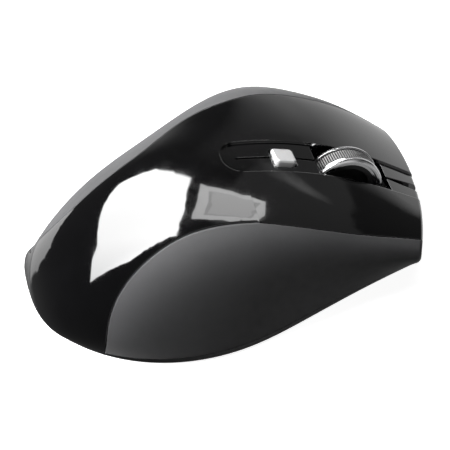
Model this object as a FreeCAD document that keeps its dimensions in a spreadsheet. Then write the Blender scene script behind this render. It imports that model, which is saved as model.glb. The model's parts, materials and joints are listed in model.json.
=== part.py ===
import FreeCAD, Part
import Sketcher
import math
import os
import re

# Wireless desktop mouse.  Millimetres.  +Y is the button end, +X the user's right, +Z up.
# The origin is under the middle of the whole mouse, on the plane that its slide feet rest on.
# The design is drawn about the wheel's middle plane, x = 0, and every sub-part's placement
# then shifts it by (shift_x, shift_y).

V = FreeCAD.Vector
doc = FreeCAD.newDocument("computer_mouse")
sheet = doc.addObject("Spreadsheet::Sheet", "sizes")

DIMENSIONS = [
    # from the drawing's zero to the origin
    ("shift_x", -1.35, "wheel plane to the middle of the width"),
    ("shift_y", -1.05, "drawing zero to the middle of the length"),
    # casing
    ("casing_bottom", 1.0, "height of the casing's underside above the desk"),
    ("rim_top", 2.5, "top of the visible base rim"),
    ("floor_top", 3.2, "inside floor of the base"),
    ("cover_wall", 2.2, "wall of the covers and grips"),
    ("lip_wall", 1.2, "wall of the base's locating lip"),
    ("lip_top", 4.8, "top of the locating lip"),
    ("seam_gap", 0.3, "gap between cover and grips"),
    ("hinge_gap", 0.02, "gap between keys and palm cover"),
    ("hinge_y", 3.0, "bend line of the keys"),
    ("front_y", 58.6, "foremost point of the front edge"),
    ("front_x", -15.0, "where the front edge is foremost"),
    ("front_round", 1.8, "round along the front lip"),
    ("key_post", 2.0, "radius of the posts under the keys"),
    ("key_lip", 12.6, "lowest edge of the keys at the front"),
    ("nose_top", 11.0, "top of the base's front wall"),
    ("nose_left", -19.8, "left end of the front wall"),
    ("nose_right", 11.8, "right end of the front wall"),
    ("channel_depth", 0.8, "depth of the centre channel"),
    ("channel_half", 6.0, "half width of the centre channel"),
    ("channel_rear", -1.2, "rear end of the centre channel"),
    ("channel_round", 5.4, "round on the channel's rear corners"),
    ("slit_half", 0.35, "half width of the slit between the keys"),
    ("slit_mouth", 1.3, "half width of the slit at the front edge"),
    ("mouth_start", 56.0, "where the slit has opened to that width"),
    # wheel
    ("wheel_y", 34.5, "wheel centre"),
    ("wheel_z", 21.9, "wheel centre"),
    ("wheel_radius", 10.9, "over the chrome rims"),
    ("tyre_radius", 10.5, "over the ribs of the tyre"),
    ("tyre_half", 1.85, "half width of the tyre"),
    ("tyre_groove", 0.3, "groove between the tyre and each rim"),
    ("rim_inner", 8.6, "inner radius of the rims and the tyre"),
    ("rim_outside", 3.75, "half width over both rims"),
    ("rim_face", 0.7, "width of the step inside each rim"),
    ("rib_count", 96, "ribs round the tyre"),
    ("rib_space", 0.34, "space between ribs"),
    ("rib_depth", 0.3, "depth of the grooves between ribs"),
    ("hub_radius", 8.55, "hub disc"),
    ("hub_half", 2.9, "half thickness of the hub disc"),
    ("hub_dish", 1.9, "depth of the hollow in each face of the hub"),
    ("boss_radius", 3.2, "hub boss"),
    ("boss_half", 4.6, "half length of the hub boss"),
    ("axle_radius", 1.5, "wheel axle"),
    ("axle_half", 10.6, "half length of the axle"),
    ("opening_rear", 26.1, "rear edge of the wheel opening"),
    ("opening_front", 47.8, "front edge of the wheel opening"),
    # resolution button
    ("dpi_y", 16.6, "centre of the resolution button"),
    ("dpi_top", 35.8, "height of its crown"),
    ("dpi_width", 6.4, "across"),
    ("dpi_length", 6.3, "along"),
    ("dpi_height", 5.1, "cap height"),
    ("dpi_tilt", 14.5, "slope of the channel floor there"),
    ("dpi_gap", 0.35, "gap round the cap"),
    ("dpi_back", 0.85, "foot of the cap behind its crown"),
    ("dpi_corner", 1.2, "round on the cap's upright corners"),
    ("dpi_crown", 0.6, "round along the cap's top edge"),
    ("dpi_flange", 0.5, "flange round the foot of the cap"),
    ("dpi_flange_thick", 0.35, "thickness of that flange"),
    ("dpi_stem", 1.2, "radius of the stem under the cap"),
    ("dpi_stem_long", 1.0, "stem under the cap"),
    # electronics
    ("pcb_bottom", 5.0, "underside of the main board"),
    ("pcb_thick", 1.6, "main board"),
    ("pcb_half", 17.4, "half width of the main board"),
    ("pcb_rear", 10.6, "rear edge of the main board"),
    ("pcb_front", 50.4, "front edge of the main board"),
    ("switch_x", 14.4, "click switches, either side"),
    ("switch_y", 42.6, "click switches"),
    ("switch_long", 12.8, "switch body"),
    ("switch_wide", 5.8, "switch body"),
    ("switch_tall", 6.5, "switch body"),
    ("plunger_wide", 1.4, "switch plunger"),
    ("plunger_long", 2.8, "switch plunger"),
    ("plunger_out", 0.9, "plunger above the switch body"),
    ("plunger_in", 1.6, "plunger inside the switch body"),
    ("middle_switch_y", 47.6, "click switch under the wheel yoke"),
    ("slide_gap", 0.08, "clearance round a plunger"),
    ("stand_off", 0.02, "air under a piece that stands on a board"),
    ("touch_gap", 0.05, "air between a plunger and what presses it"),
    ("sensor_y", 20.5, "optical sensor"),
    ("chip_half", 4.5, "half width of the sensor"),
    ("chip_long", 6.0, "half length of the sensor"),
    ("chip_tall", 2.6, "top of the sensor above the board"),
    ("lens_half", 4.2, "half width of the lens plate"),
    ("lens_long", 5.2, "half length of the lens plate"),
    ("lens_bottom", 2.1, "underside of the lens plate"),
    ("lens_top", 3.3, "top of the lens plate"),
    ("lens_radius", 2.6, "dome on the lens"),
    ("lens_dome", 1.5, "height of the dome"),
    ("lamp_x", 6.6, "light source"),
    ("lamp_radius", 1.5, "light source"),
    ("lamp_tall", 3.6, "light source"),
    ("board_bottom", 23.4, "underside of the upper board"),
    ("upper_half", 13.0, "half width of the upper board"),
    ("upper_long", 4.0, "half length of the upper board"),
    ("upper_thick", 1.2, "upper board"),
    ("column_at", 10.5, "columns of the upper board, either side"),
    ("column_radius", 1.3, "columns of the upper board"),
    ("tie_tall", 3.0, "bar between the columns"),
    ("tact_half", 3.0, "half width of the resolution switch"),
    ("tact_top", 4.7, "top of its case above the upper board's underside"),
    ("tact_crown", 5.5, "top of its button above the upper board's underside"),
    ("tact_radius", 1.7, "its button"),
    # wheel yoke, its guide frame and the encoder
    ("cheek_in", 5.2, "inside of the yoke's cheeks"),
    ("cheek_out", 7.2, "outside of the yoke's cheeks"),
    ("cheek_half", 3.6, "half length of a cheek"),
    ("cheek_over", 1.0, "cheek above the wheel's axis"),
    ("yoke_foot", 8.6, "underside of the yoke"),
    ("bridge_top", 10.2, "top of the yoke's bridge"),
    ("arm_bottom", 14.15, "underside of the yoke's arms"),
    ("arm_top", 16.2, "top of the yoke's arms"),
    ("arm_reach", 14.6, "front end of the arms ahead of the wheel's axis"),
    ("bar_wide", 3.0, "bar over the middle switch"),
    ("guide_in", 7.5, "inside of the guide posts"),
    ("guide_out", 9.4, "outside of the guide posts"),
    ("guide_reach", 5.2, "half length of the guide frame"),
    ("guide_slot", 1.8, "half the space between posts"),
    ("guide_under", 1.5, "top of the posts below the wheel's axis"),
    ("guide_plate", 7.7, "top of the frame's plate"),
    ("disc_left", -10.5, "left face of the encoder disc"),
    ("disc_thick", 0.9, "encoder disc"),
    ("disc_radius", 5.2, "encoder disc"),
    ("fork_left", -13.2, "left face of the encoder"),
    ("fork_stem", -11.2, "right face of its stem"),
    ("fork_foot", -10.1, "right face of its foot"),
    ("fork_rear", 9.6, "rear of the encoder behind the wheel's axis"),
    ("fork_front", 6.0, "front of its foot behind the wheel's axis"),
    ("fork_reach", 3.4, "front of its stem behind the wheel's axis"),
    ("fork_low", 8.4, "top of its foot"),
    ("fork_top", 20.5, "top of its stem"),
    # power
    ("cell_radius", 7.15, "AA cell"),
    ("cell_length", 49.4, "AA cell without its nub"),
    ("cell_rear", -42.9, "rear end of the cells"),
    ("cell_left", -3.0, "left cell"),
    ("cell_right", 12.0, "right cell"),
    ("cell_z", 10.5, "height of the cells' axes"),
    ("door_left", -11.0, "battery door"),
    ("door_right", 20.0, "battery door"),
    ("door_rear", -45.0, "battery door"),
    ("door_front", 8.2, "battery door"),
    ("door_thick", 1.7, "battery door"),
    ("door_gap", 0.2, "gap round the battery door"),
    ("door_ledge", 0.6, "ledge that the door closes on"),
    ("ridge_count", 5, "finger ridges on the battery door"),
    ("ridge_pitch", 1.8, "from ridge to ridge"),
    ("ridge_wide", 0.8, "groove between ridges"),
    ("ridge_deep", 0.5, "groove between ridges"),
    ("ridge_start", 4.0, "first groove from the door's rear edge"),
    ("ridge_side", 8.0, "end of the grooves from the door's sides"),
    ("bay_wall", 1.2, "walls of the cell bay"),
    ("bay_top", 13.0, "top of the bay walls"),
    ("bay_side", 0.5, "from a cell to the bay's side walls"),
    ("bay_rear", 1.4, "from a cell to the bay's rear wall"),
    ("bay_front", 2.4, "from a cell to the bay's front wall"),
    ("nub_radius", 2.7, "positive end of a cell"),
    ("nub_long", 1.0, "positive end of a cell"),
    ("leaf_half", 4.5, "half width of a contact leaf"),
    ("leaf_down", 5.0, "leaf below the cell's axis"),
    ("leaf_up", 4.0, "leaf above the cell's axis"),
    ("link_tall", 2.0, "strip that joins two leaves"),
    ("front_leaf", 0.45, "thickness of the front contact"),
    ("rear_leaf", 0.25, "thickness of the rear contact"),
    ("nub_gap", 0.05, "from a nub to its leaf"),
    ("power_x", -20.5, "power switch"),
    ("power_y", 14.0, "middle of the power switch's slot"),
    ("power_slot", 4.0, "half length of the slot"),
    ("power_play", 0.3, "slot wider than the knob, either side"),
    ("knob_half", 1.6, "half width of the power knob"),
    ("knob_rear", 3.8, "rear of the knob behind the slot's middle"),
    ("knob_front", 0.2, "front of the knob behind the slot's middle"),
    ("knob_bottom", 1.1, "underside of the knob"),
    ("flange_half", 3.2, "half width of the knob's flange"),
    ("flange_rear", 8.1, "rear of the flange behind the slot's middle"),
    ("flange_front", 4.4, "front of the flange ahead of the slot's middle"),
    ("flange_thick", 1.0, "flange of the power knob"),
    # feet and screws
    ("foot_thick", 1.3, "slide feet"),
    ("foot_wide", 5.0, "slide feet"),
    ("screw_radius", 1.0, "case screw shank"),
    ("screw_head", 2.2, "case screw head"),
    ("head_bottom", 1.65, "underside of a case screw's head"),
    ("head_tall", 1.3, "case screw head"),
    ("shank_bottom", 2.4, "where the shank starts inside the head"),
    ("screw_tip", 9.6, "top of the case screws"),
    ("screw_play", 0.15, "hole wider than the screw, all round"),
    ("boss_top", 7.8, "top of the base's screw bosses"),
    ("boss_wide", 2.8, "radius of the base's screw bosses"),
    ("stud_radius", 1.6, "studs under the main board"),
    ("stud_in", 2.4, "studs in from the main board's side edges"),
]
for row, (alias, value, meaning) in enumerate(DIMENSIONS, start=1):
    sheet.set("A%d" % row, alias)
    sheet.set("B%d" % row, "%g" % value)
    sheet.set("C%d" % row, meaning)
    sheet.setAlias("B%d" % row, alias)
doc.recompute()


def size(alias):
    """A driving dimension, read from the sheet."""
    return float(sheet.get(alias))


def bound(text):
    """An expression in sheet names, such as 'wheel_y - 2'."""
    return re.sub(r"\b([a-z][a-z_]*)\b", r"sizes.\1", text)


NODES = []
SHIFT = {"x": " + shift_x", "y": " + shift_y", "z": ""}


def node(feature, label):
    feature.Label = label
    NODES.append(feature)
    return feature


def place(feature, at):
    """Bind a placement to three expressions."""
    for letter, text in zip("xyz", at):
        feature.setExpression(".Placement.Base." + letter, bound(text + SHIFT[letter]))


def box(name, spans):
    """Part::Box between three (low, high) pairs of expressions."""
    feature = doc.addObject("Part::Box", name)
    for prop, letter, (low, high) in zip(("Length", "Width", "Height"), "xyz", spans):
        feature.setExpression(prop, bound("(%s) - (%s)" % (high, low)))
        feature.setExpression(".Placement.Base." + letter, bound(low + SHIFT[letter]))
    return feature


def cylinder(name, radius, height, at, axis=V(0, 0, 1)):
    """Part::Cylinder that starts at a point and runs along an axis."""
    feature = doc.addObject("Part::Cylinder", name)
    feature.setExpression("Radius", bound(radius))
    feature.setExpression("Height", bound(height))
    turn = FreeCAD.Rotation(V(0, 0, 1), axis)
    feature.Placement = FreeCAD.Placement(V(0, 0, 0), turn)
    place(feature, at)
    return feature


def around(middle, half):
    """Span of expressions on both sides of a middle."""
    return ("%s - (%s)" % (middle, half), "%s + (%s)" % (middle, half))


def fuse(name, pieces):
    feature = doc.addObject("Part::MultiFuse", name)
    feature.Shapes = pieces
    return feature


def cut(name, base, tool):
    feature = doc.addObject("Part::Cut", name)
    feature.Base = base
    feature.Tool = tool
    return feature


def freeform(label, shape):
    feature = doc.addObject("Part::Feature", label)
    feature.Shape = shape
    place(feature, ("0", "0", "0"))
    return node(feature, label)


# ---------------------------------------------------------------------------------------
# The casing's outer surface: one spline surface through ten rails and nine stations.
# A station is its y, the right base edge's x, eight (x, z) rail points from the right wall
# over the crest to the left wall, and the left base edge's x.
# Rails: wall, crease, shoulder, deck, crest, deck, shoulder, wall.
# ---------------------------------------------------------------------------------------

STATIONS = [
    (-56.5, 9.5, (14.5, 2), (16.5, 5.5), (14.5, 9.5), (8, 13.5), (-0.5, 14.3),
     (-5.5, 9.5), (-10.5, 5), (-15, 2), -18),
    (-51, 21.5, (27, 4), (28.5, 10.5), (26, 17.5), (16, 23.7), (0.5, 25.3),
     (-7.5, 18.5), (-15, 10), (-21.5, 3.5), -24),
    (-38, 33.5, (36.5, 7), (37, 15.5), (32, 25.5), (20.5, 32.7), (1, 35.3),
     (-11.5, 30), (-21.5, 18.5), (-27.5, 5.5), -28.5),
    (-22, 39, (39, 8.5), (37.5, 19.5), (32, 30), (20.5, 36.7), (-0.5, 39.5),
     (-16, 37.5), (-25.5, 26), (-28, 10), -31),
    (-4, 38, (37.5, 8.5), (35, 21), (29.3, 31.8), (17.5, 36.7), (-2.5, 39.5),
     (-18.5, 38.7), (-36, 36.5), (-27.5, 16.5), -31),
    (14, 30.5, (30.5, 8.5), (31.5, 22), (26.7, 29.5), (17.5, 33), (-3, 37.3),
     (-21, 40.5), (-44.5, 40.3), (-27.5, 17.5), -29.5),
    (32, 22.5, (25, 8.5), (30, 18.3), (26, 23), (17, 27.4), (-1.5, 31.6),
     (-21, 35.4), (-43, 33), (-26.5, 12.5), -26.5),
    (48, 16.5, (21.5, 7), (29.3, 13.6), (25.5, 17), (16, 19.7), (-1.5, 22.7),
     (-20, 26.5), (-39.5, 25.5), (-26, 10), -23.5),
    (66, 10.5, (17.5, 3.5), (27, 5.6), (24, 8.2), (15, 9.8), (-1.5, 10.9),
     (-17, 11.8), (-32.5, 9.7), (-22.5, 7), -20.5),
]
DEGREE = 3
TALL = 80.0


def station_points(station, wall):
    """The rail points of a station, moved inwards by a wall thickness."""
    bottom = size("casing_bottom")
    flat = [(station[1], bottom)] + list(station[2:-1]) + [(station[-1], bottom)]
    moved = []
    for i, (x, z) in enumerate(flat):
        if i == 0:
            moved.append((x - wall, z))
            continue
        if i == len(flat) - 1:
            moved.append((x + wall, z))
            continue
        along_x = flat[i + 1][0] - flat[i - 1][0]
        along_z = flat[i + 1][1] - flat[i - 1][1]
        length = math.hypot(along_x, along_z)
        moved.append((x - wall * along_z / length, z + wall * along_x / length))
    return moved


def even_knots(count):
    spans = count - DEGREE
    knots = [i / float(spans) for i in range(spans + 1)]
    repeats = [DEGREE + 1] + [1] * (spans - 1) + [DEGREE + 1]
    return knots, repeats


def casing_solid(wall, front_back):
    """The casing's volume inside a wall; front_back moves its front face rearwards."""
    rows = []
    for j, station in enumerate(STATIONS):
        y = station[0] + (wall if j == 0 else 0.0)
        rows.append([V(x, y, z) for x, z in station_points(station, wall)])
    tail = V(0, rows[0][0].y, size("casing_bottom"))
    rows.insert(0, [tail] * len(rows[0]))
    knots_y, repeats_y = even_knots(len(rows))
    knots_x, repeats_x = even_knots(len(rows[0]))
    surface = Part.BSplineSurface()
    surface.buildFromPolesMultsKnots(rows, repeats_y, repeats_x, knots_y, knots_x,
                                     False, False, DEGREE, DEGREE)
    skin = surface.toShape()
    edges = [edge for edge in skin.Edges if not edge.Degenerated]
    end = max(edges, key=lambda edge: edge.BoundBox.YMin)
    rails = [edge for edge in edges if not edge.isSame(end)]
    sill = Part.makeLine(end.Vertexes[0].Point, end.Vertexes[-1].Point)
    end_face = Part.Face(Part.Wire([end, sill]))
    bottom_face = Part.Face(Part.Wire(Part.__sortEdges__(rails + [sill])))
    solid = Part.Solid(Part.Shell([skin, end_face, bottom_face]))
    return solid.common(plan_prism(front_line(front_back), (0, -TALL)))


def spline(points):
    curve = Part.BSplineCurve()
    curve.interpolate(points)
    return curve.toShape()


def closed_face(points, corners):
    """A flat face bounded by a smooth curve through points and then straight corners."""
    edges = [spline(points)]
    chain = [points[-1]] + corners + [points[0]]
    for a, b in zip(chain, chain[1:]):
        edges.append(Part.makeLine(a, b))
    return Part.Face(Part.Wire(edges))


def front_line(back):
    """Plan view of the front edge, set back by a distance."""
    bend = 0.0055
    tip_x, tip_y = size("front_x"), size("front_y") - back
    return [(x, tip_y - bend * (x - tip_x) ** 2) for x in (-45, -30, -15, 0, 15, 30, 45)]


def plan_prism(line, towards):
    """Upright prism on one side of a plan-view line; towards is a far point on that side."""
    points = [V(x, y, -TALL) for x, y in line]
    ends = (points[-1], points[0])
    if towards[0] == 0:
        corners = [V(end.x, towards[1], -TALL) for end in ends]
    else:
        corners = [V(towards[0], end.y, -TALL) for end in ends]
    return closed_face(points, corners).extrude(V(0, 0, 2 * TALL))


def block(x0, x1, y0, y1, z0, z1):
    return Part.makeBox(x1 - x0, y1 - y0, z1 - z0, V(x0, y0, z0))


def shifted(line, distance):
    """A line of 2-D points moved sideways, to the left of its direction."""
    moved = []
    for i, (a, b) in enumerate(line):
        before, after = line[max(i - 1, 0)], line[min(i + 1, len(line) - 1)]
        da, db = after[0] - before[0], after[1] - before[1]
        length = math.hypot(da, db)
        moved.append((a - distance * db / length, b + distance * da / length))
    return moved


outer = casing_solid(0.0, 0.0)
front_edges = [edge for edge in outer.Edges if edge.BoundBox.YMin > 40]
lip_edge = max(front_edges, key=lambda edge: edge.Length)
outer = outer.makeFillet(size("front_round"), [lip_edge])
inner = casing_solid(size("cover_wall"), size("cover_wall"))
middle = casing_solid(size("cover_wall") / 2, size("cover_wall") / 2)
shell = outer.cut(inner)
above_rim = block(-TALL, TALL, -TALL, TALL, size("rim_top") + 0.1, TALL)
cover_shell = shell.common(above_rim)

# ---------------------------------------------------------------------------------------
# Seams between the glossy cover and the two side grips.  Behind the bend line the right
# seam is drawn in side view and the left one in a view tilted by 45 degrees; beside the
# keys both are upright, so that the keys can move down past the grips.
# ---------------------------------------------------------------------------------------

RIGHT_SIDE_SEAM = [(-42.5, -4), (-42, 10), (-40, 19), (-35, 25.7), (-28.5, 30), (-20, 32.8),
                   (-10, 33.6), (3.2, 32.2)]
RIGHT_PLAN_SEAM = [(23.6, 2.8), (24.7, 14), (25.1, 25), (24.8, 36), (23.2, 50.5), (21.6, 62)]
LEFT_TILT_SEAM = [(-51.5, -24), (-53.3, -8), (-53.4, 4), (-51.8, 15), (-48, 24), (-42, 28.9),
                  (-35, 30), (-28, 29.3), (-21, 26.6), (-14, 21.2), (-8, 17), (-2, 15), (3.2, 14.5)]
LEFT_PLAN_SEAM = [(-24, 2.8), (-25.6, 11), (-26.8, 18), (-27.6, 30), (-28.2, 42), (-28.2, 62)]


def right_zone(gap):
    """Everything on the grip's side of the right seam; gap widens it."""
    bend = size("hinge_y")
    rear_line = [V(0, y, z) for y, z in shifted(RIGHT_SIDE_SEAM, gap)]
    below = [V(0, rear_line[-1].y, -TALL), V(0, rear_line[0].y, -TALL)]
    rear = closed_face(rear_line, below).extrude(V(TALL, 0, 0))
    rear = rear.common(block(0, TALL, -TALL, bend, -TALL, TALL))
    front = plan_prism(shifted(RIGHT_PLAN_SEAM, gap), (TALL, 0))
    front = front.common(block(0, TALL, bend, TALL, -TALL, TALL))
    foot = block(size("nose_right") + 0.2 - gap, TALL, 20, TALL, -TALL, size("key_lip") - 2.2 + gap)
    return rear.fuse([front, foot])


def left_zone(gap):
    """Everything on the grip's side of the left seam; gap widens it."""
    bend = size("hinge_y")
    line = [V(w / 2, y, w / 2) for y, w in shifted(LEFT_TILT_SEAM, gap * math.sqrt(2))]
    slant = V(-1, 0, 1).normalize() * TALL
    far = -2 * TALL
    corners = [V(far, line[-1].y, far), V(far, line[0].y, far)]
    rear = closed_face(line, corners)
    rear.translate(slant * -1)
    rear = rear.extrude(slant * 2)
    rear = rear.common(block(-2 * TALL, 2 * TALL, -TALL, bend, -2 * TALL, 2 * TALL))
    front = plan_prism(shifted(LEFT_PLAN_SEAM, -gap), (-TALL, 0))
    front = front.common(block(-TALL, 0, bend, TALL, -TALL, TALL))
    foot = block(-TALL, size("nose_left") - 0.2 + gap, 20, TALL, -TALL, size("key_lip") - 2.2 + gap)
    return rear.fuse([front, foot])


def rounded_block(x_half, y0, y1, radius, z0=-TALL, z1=TALL):
    """Upright block about x = 0 with rounded corners."""
    solid = block(-x_half, x_half, y0, y1, z0, z1)
    upright = [edge for edge in solid.Edges if edge.BoundBox.ZLength > 0.9 * (z1 - z0)]
    return solid.makeFillet(radius, upright)


# Channel: what lies above the outer surface lowered by the channel's depth.
channel = rounded_block(size("channel_half"), size("channel_rear"), TALL, size("channel_round"))
lowered = outer.copy()
lowered.translate(V(0, 0, -size("channel_depth")))
channel_void = channel.cut(lowered)


def glossy_part(y0, y1, z0):
    """The glossy cover between two stations, less the grips and the channel."""
    part = cover_shell.common(block(-TALL, TALL, y0, y1, z0, TALL))
    part = part.cut(right_zone(size("seam_gap"))).cut(left_zone(size("seam_gap")))
    return part.cut(channel_void)


hinge_y = size("hinge_y")
half_gap = size("hinge_gap") / 2
palm_shape = glossy_part(-TALL, hinge_y - half_gap, 0)
keys = glossy_part(hinge_y + half_gap, TALL, size("key_lip"))
opening = rounded_block(size("channel_half"), size("opening_rear"), size("opening_front"), 1.2)
cap_half = size("dpi_length") / 2 + size("dpi_gap")
cap_hole = rounded_block(size("dpi_width") / 2 + size("dpi_gap"), size("dpi_y") - cap_half,
                         size("dpi_y") + cap_half, 1.3)
slit = block(-size("slit_half"), size("slit_half"), hinge_y, TALL, 0, TALL)
flare = [(size("slit_half"), size("opening_front")), (size("slit_mouth"), size("mouth_start")),
         (size("slit_mouth"), TALL)]
mouth = [V(x, y, 0) for x, y in flare] + [V(-x, y, 0) for x, y in reversed(flare)]
mouth_prism = Part.Face(Part.makePolygon(mouth + [mouth[0]])).extrude(V(0, 0, TALL))
keys = keys.cut(opening).cut(cap_hole).cut(slit.fuse(mouth_prism))


def key_post(side):
    """Post under a key that rests on its switch plunger."""
    board_top_z = size("pcb_bottom") + size("pcb_thick")
    foot = board_top_z + size("switch_tall") + size("plunger_out") + size("touch_gap")
    post = Part.makeCylinder(size("key_post"), TALL, V(side * size("switch_x"), size("switch_y"), foot))
    return post.common(middle)


def biggest(shape):
    return max(shape.Solids, key=lambda solid: solid.Volume)


def key_shape(side):
    half = keys.common(block(min(0, side * TALL), max(0, side * TALL), -TALL, TALL, -TALL, TALL))
    return biggest(half).fuse(key_post(side)).removeSplitter()


freeform("palm_cover", biggest(palm_shape))
freeform("left_key", key_shape(-1))
freeform("right_key", key_shape(1))

# ---------------------------------------------------------------------------------------
# Side grips, with the posts that the case screws bite into.
# ---------------------------------------------------------------------------------------

SCREWS = [(28.0, -22.0), (-20.5, -24.0), (22.5, 17.0), (-21.5, 27.0)]
POST_RADIUS = 2.6
LOW_POST = 3.5
WEB_REACH = 12


def screw_post(x, y):
    """Post with a pilot hole; the low front posts reach the wall through a short web."""
    foot = size("boss_top") + 0.1
    if y < 0:
        solid = Part.makeCylinder(POST_RADIUS, TALL, V(x, y, foot))
    else:
        solid = Part.makeCylinder(POST_RADIUS, LOW_POST, V(x, y, foot))
        web_end = x + math.copysign(WEB_REACH, x)
        web = block(min(x, web_end), max(x, web_end), y - 1, y + 1, foot, foot + LOW_POST)
        solid = solid.fuse(web)
    pilot_deep = size("screw_tip") - foot + 0.5
    pilot = Part.makeCylinder(size("screw_radius") + 0.02, pilot_deep, V(x, y, foot))
    return solid.common(middle).cut(pilot)


def grip_shape(zone, side):
    wall = biggest(cover_shell.common(zone))
    for x, y in SCREWS:
        if x * side > 0:
            wall = wall.fuse(screw_post(x, y))
    return biggest(wall.removeSplitter())


freeform("right_grip", grip_shape(right_zone(0.0), 1))
freeform("left_grip", grip_shape(left_zone(0.0), -1))

# ---------------------------------------------------------------------------------------
# Base shell.
# ---------------------------------------------------------------------------------------

bottom = size("casing_bottom")
pcb_bottom = size("pcb_bottom")
floor_top = size("floor_top")
STUD_ROWS = (13.2, 35.5)


def base_shape():
    wall = size("cover_wall")
    plate = outer.common(block(-TALL, TALL, -TALL, TALL, 0, size("rim_top")))
    pocket = casing_solid(wall + 0.2, wall + 0.2)
    floor = pocket.common(block(-TALL, TALL, -TALL, TALL, 0, floor_top))
    hollow = casing_solid(wall + 0.2 + size("lip_wall"), wall + 0.2 + size("lip_wall"))
    lip = pocket.cut(hollow).common(block(-TALL, TALL, -TALL, TALL, bottom, size("lip_top")))
    nose = shell.common(block(size("nose_left"), size("nose_right"), 45, TALL, 0, size("nose_top")))
    solid = plate.fuse([floor, lip, nose])
    wall = size("bay_wall")
    side = size("cell_radius") + size("bay_side")
    x0, x1 = size("cell_left") - side, size("cell_right") + side
    y0 = size("cell_rear") - size("bay_rear")
    y1 = size("cell_rear") + size("cell_length") + size("bay_front")
    bay = block(x0 - wall, x1 + wall, y0 - wall, y1 + wall, bottom, size("bay_top"))
    bay = bay.cut(block(x0, x1, y0, y1, 0, TALL))
    solid = solid.fuse(bay.common(hollow))
    for x, y in SCREWS:
        boss = Part.makeCylinder(size("boss_wide"), size("boss_top") - bottom, V(x, y, bottom))
        solid = solid.fuse(boss.common(hollow))
    stud_x = size("pcb_half") - size("stud_in")
    for x in (-stud_x, stud_x):
        for y in STUD_ROWS:
            stud_tall = pcb_bottom - size("stand_off") - bottom
            solid = solid.fuse(Part.makeCylinder(size("stud_radius"), stud_tall, V(x, y, bottom)))
    return cut_base_openings(solid)


def cut_base_openings(solid):
    gap = size("door_gap")
    x0, x1 = size("door_left"), size("door_right")
    y0, y1 = size("door_rear"), size("door_front")
    door_top = bottom + size("door_thick")
    holes = [block(x0 - gap, x1 + gap, y0 - gap, y1 + gap, 0, door_top + gap)]
    ledge = size("door_ledge")
    holes.append(block(x0 + ledge, x1 - ledge, y0 + ledge, y1 - ledge, 0, floor_top + 1))
    lens_y0 = size("sensor_y") - size("lens_long") - 0.3
    lens_y1 = size("sensor_y") + size("lens_long") + 0.3
    holes.append(rounded_block(size("lens_half") + 0.3, lens_y0, lens_y1, 0.5, 0, floor_top + 1))
    power_x, power_y = size("power_x"), size("power_y")
    half, reach = size("knob_half") + size("power_play"), size("power_slot")
    holes.append(block(power_x - half, power_x + half, power_y - reach, power_y + reach, 0, floor_top + 1))
    play = size("screw_play")
    recess = size("head_bottom") + size("head_tall") + 0.05
    for x, y in SCREWS:
        holes.append(Part.makeCylinder(size("screw_radius") + play, TALL, V(x, y, 0)))
        holes.append(Part.makeCylinder(size("screw_head") + play, recess, V(x, y, 0)))
    for line in (FRONT_FOOT, REAR_FOOT):
        holes.append(foot_solid(line, 0.1, 0))
    for hole in holes:
        solid = solid.cut(hole)
    return biggest(solid.removeSplitter())


# Slide feet are bent strips along an arc: centre x, centre y, radius, half angle, direction.
FRONT_FOOT = (-3.5, -8.0, 56.0, 13.0, 90.0)
REAR_FOOT = (2.0, 1.4, 51.5, 13.0, 270.0)


def foot_solid(line, grow, drop):
    """Bent strip with round ends; grow widens it and drop lowers its top."""
    x, y, radius, half_angle, direction = line
    half = size("foot_wide") / 2 + grow
    height = size("foot_thick") - drop
    centre = V(x, y, 0)
    ring = Part.makeCylinder(radius + half, height, centre)
    ring = ring.cut(Part.makeCylinder(radius - half, height, centre))
    start, end = math.radians(direction - half_angle), math.radians(direction + half_angle)
    reach = radius * 2
    wedge = Part.Face(Part.makePolygon([
        centre, centre + V(math.cos(start), math.sin(start), 0) * reach,
        centre + V(math.cos(end), math.sin(end), 0) * reach, centre])).extrude(V(0, 0, height))
    strip = ring.common(wedge)
    for angle in (start, end):
        tip = centre + V(math.cos(angle), math.sin(angle), 0) * radius
        strip = strip.fuse(Part.makeCylinder(half, height, tip))
    return strip.removeSplitter()


freeform("base", base_shape())
freeform("front_foot", foot_solid(FRONT_FOOT, 0.0, 0.02))
freeform("rear_foot", foot_solid(REAR_FOOT, 0.0, 0.02))

# ---------------------------------------------------------------------------------------
# Sketched pieces.
# ---------------------------------------------------------------------------------------


def new_body(label, at, rotation=FreeCAD.Rotation()):
    body = doc.addObject("PartDesign::Body", label)
    body.Placement = FreeCAD.Placement(V(0, 0, 0), rotation)
    place(body, at)
    return node(body, label)


def plane_of(body, role):
    return [item for item in body.Origin.OriginFeatures if item.Role == role][0]


def outline_sketch(body, name, role, corners):
    """Closed polygon sketch; every corner is a pair of expressions bound to the sheet."""
    sketch = body.newObject("Sketcher::SketchObject", name)
    sketch.AttachmentSupport = [(plane_of(body, role), "")]
    sketch.MapMode = "FlatFace"
    numbers = [(evaluate(a), evaluate(b)) for a, b in corners]
    count = len(corners)
    for i, (a, b) in enumerate(numbers):
        after = numbers[(i + 1) % count]
        sketch.addGeometry(Part.LineSegment(V(a, b, 0), V(after[0], after[1], 0)), False)
    for i in range(count):
        sketch.addConstraint(Sketcher.Constraint("Coincident", i, 2, (i + 1) % count, 1))
    for i, (a_text, b_text) in enumerate(corners):
        bounds = (("DistanceX", a_text, numbers[i][0]), ("DistanceY", b_text, numbers[i][1]))
        for kind, text, value in bounds:
            index = sketch.addConstraint(Sketcher.Constraint(kind, -1, 1, i, 1, value))
            sketch.setExpression("Constraints[%d]" % index, bound(text))
    return sketch


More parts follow.
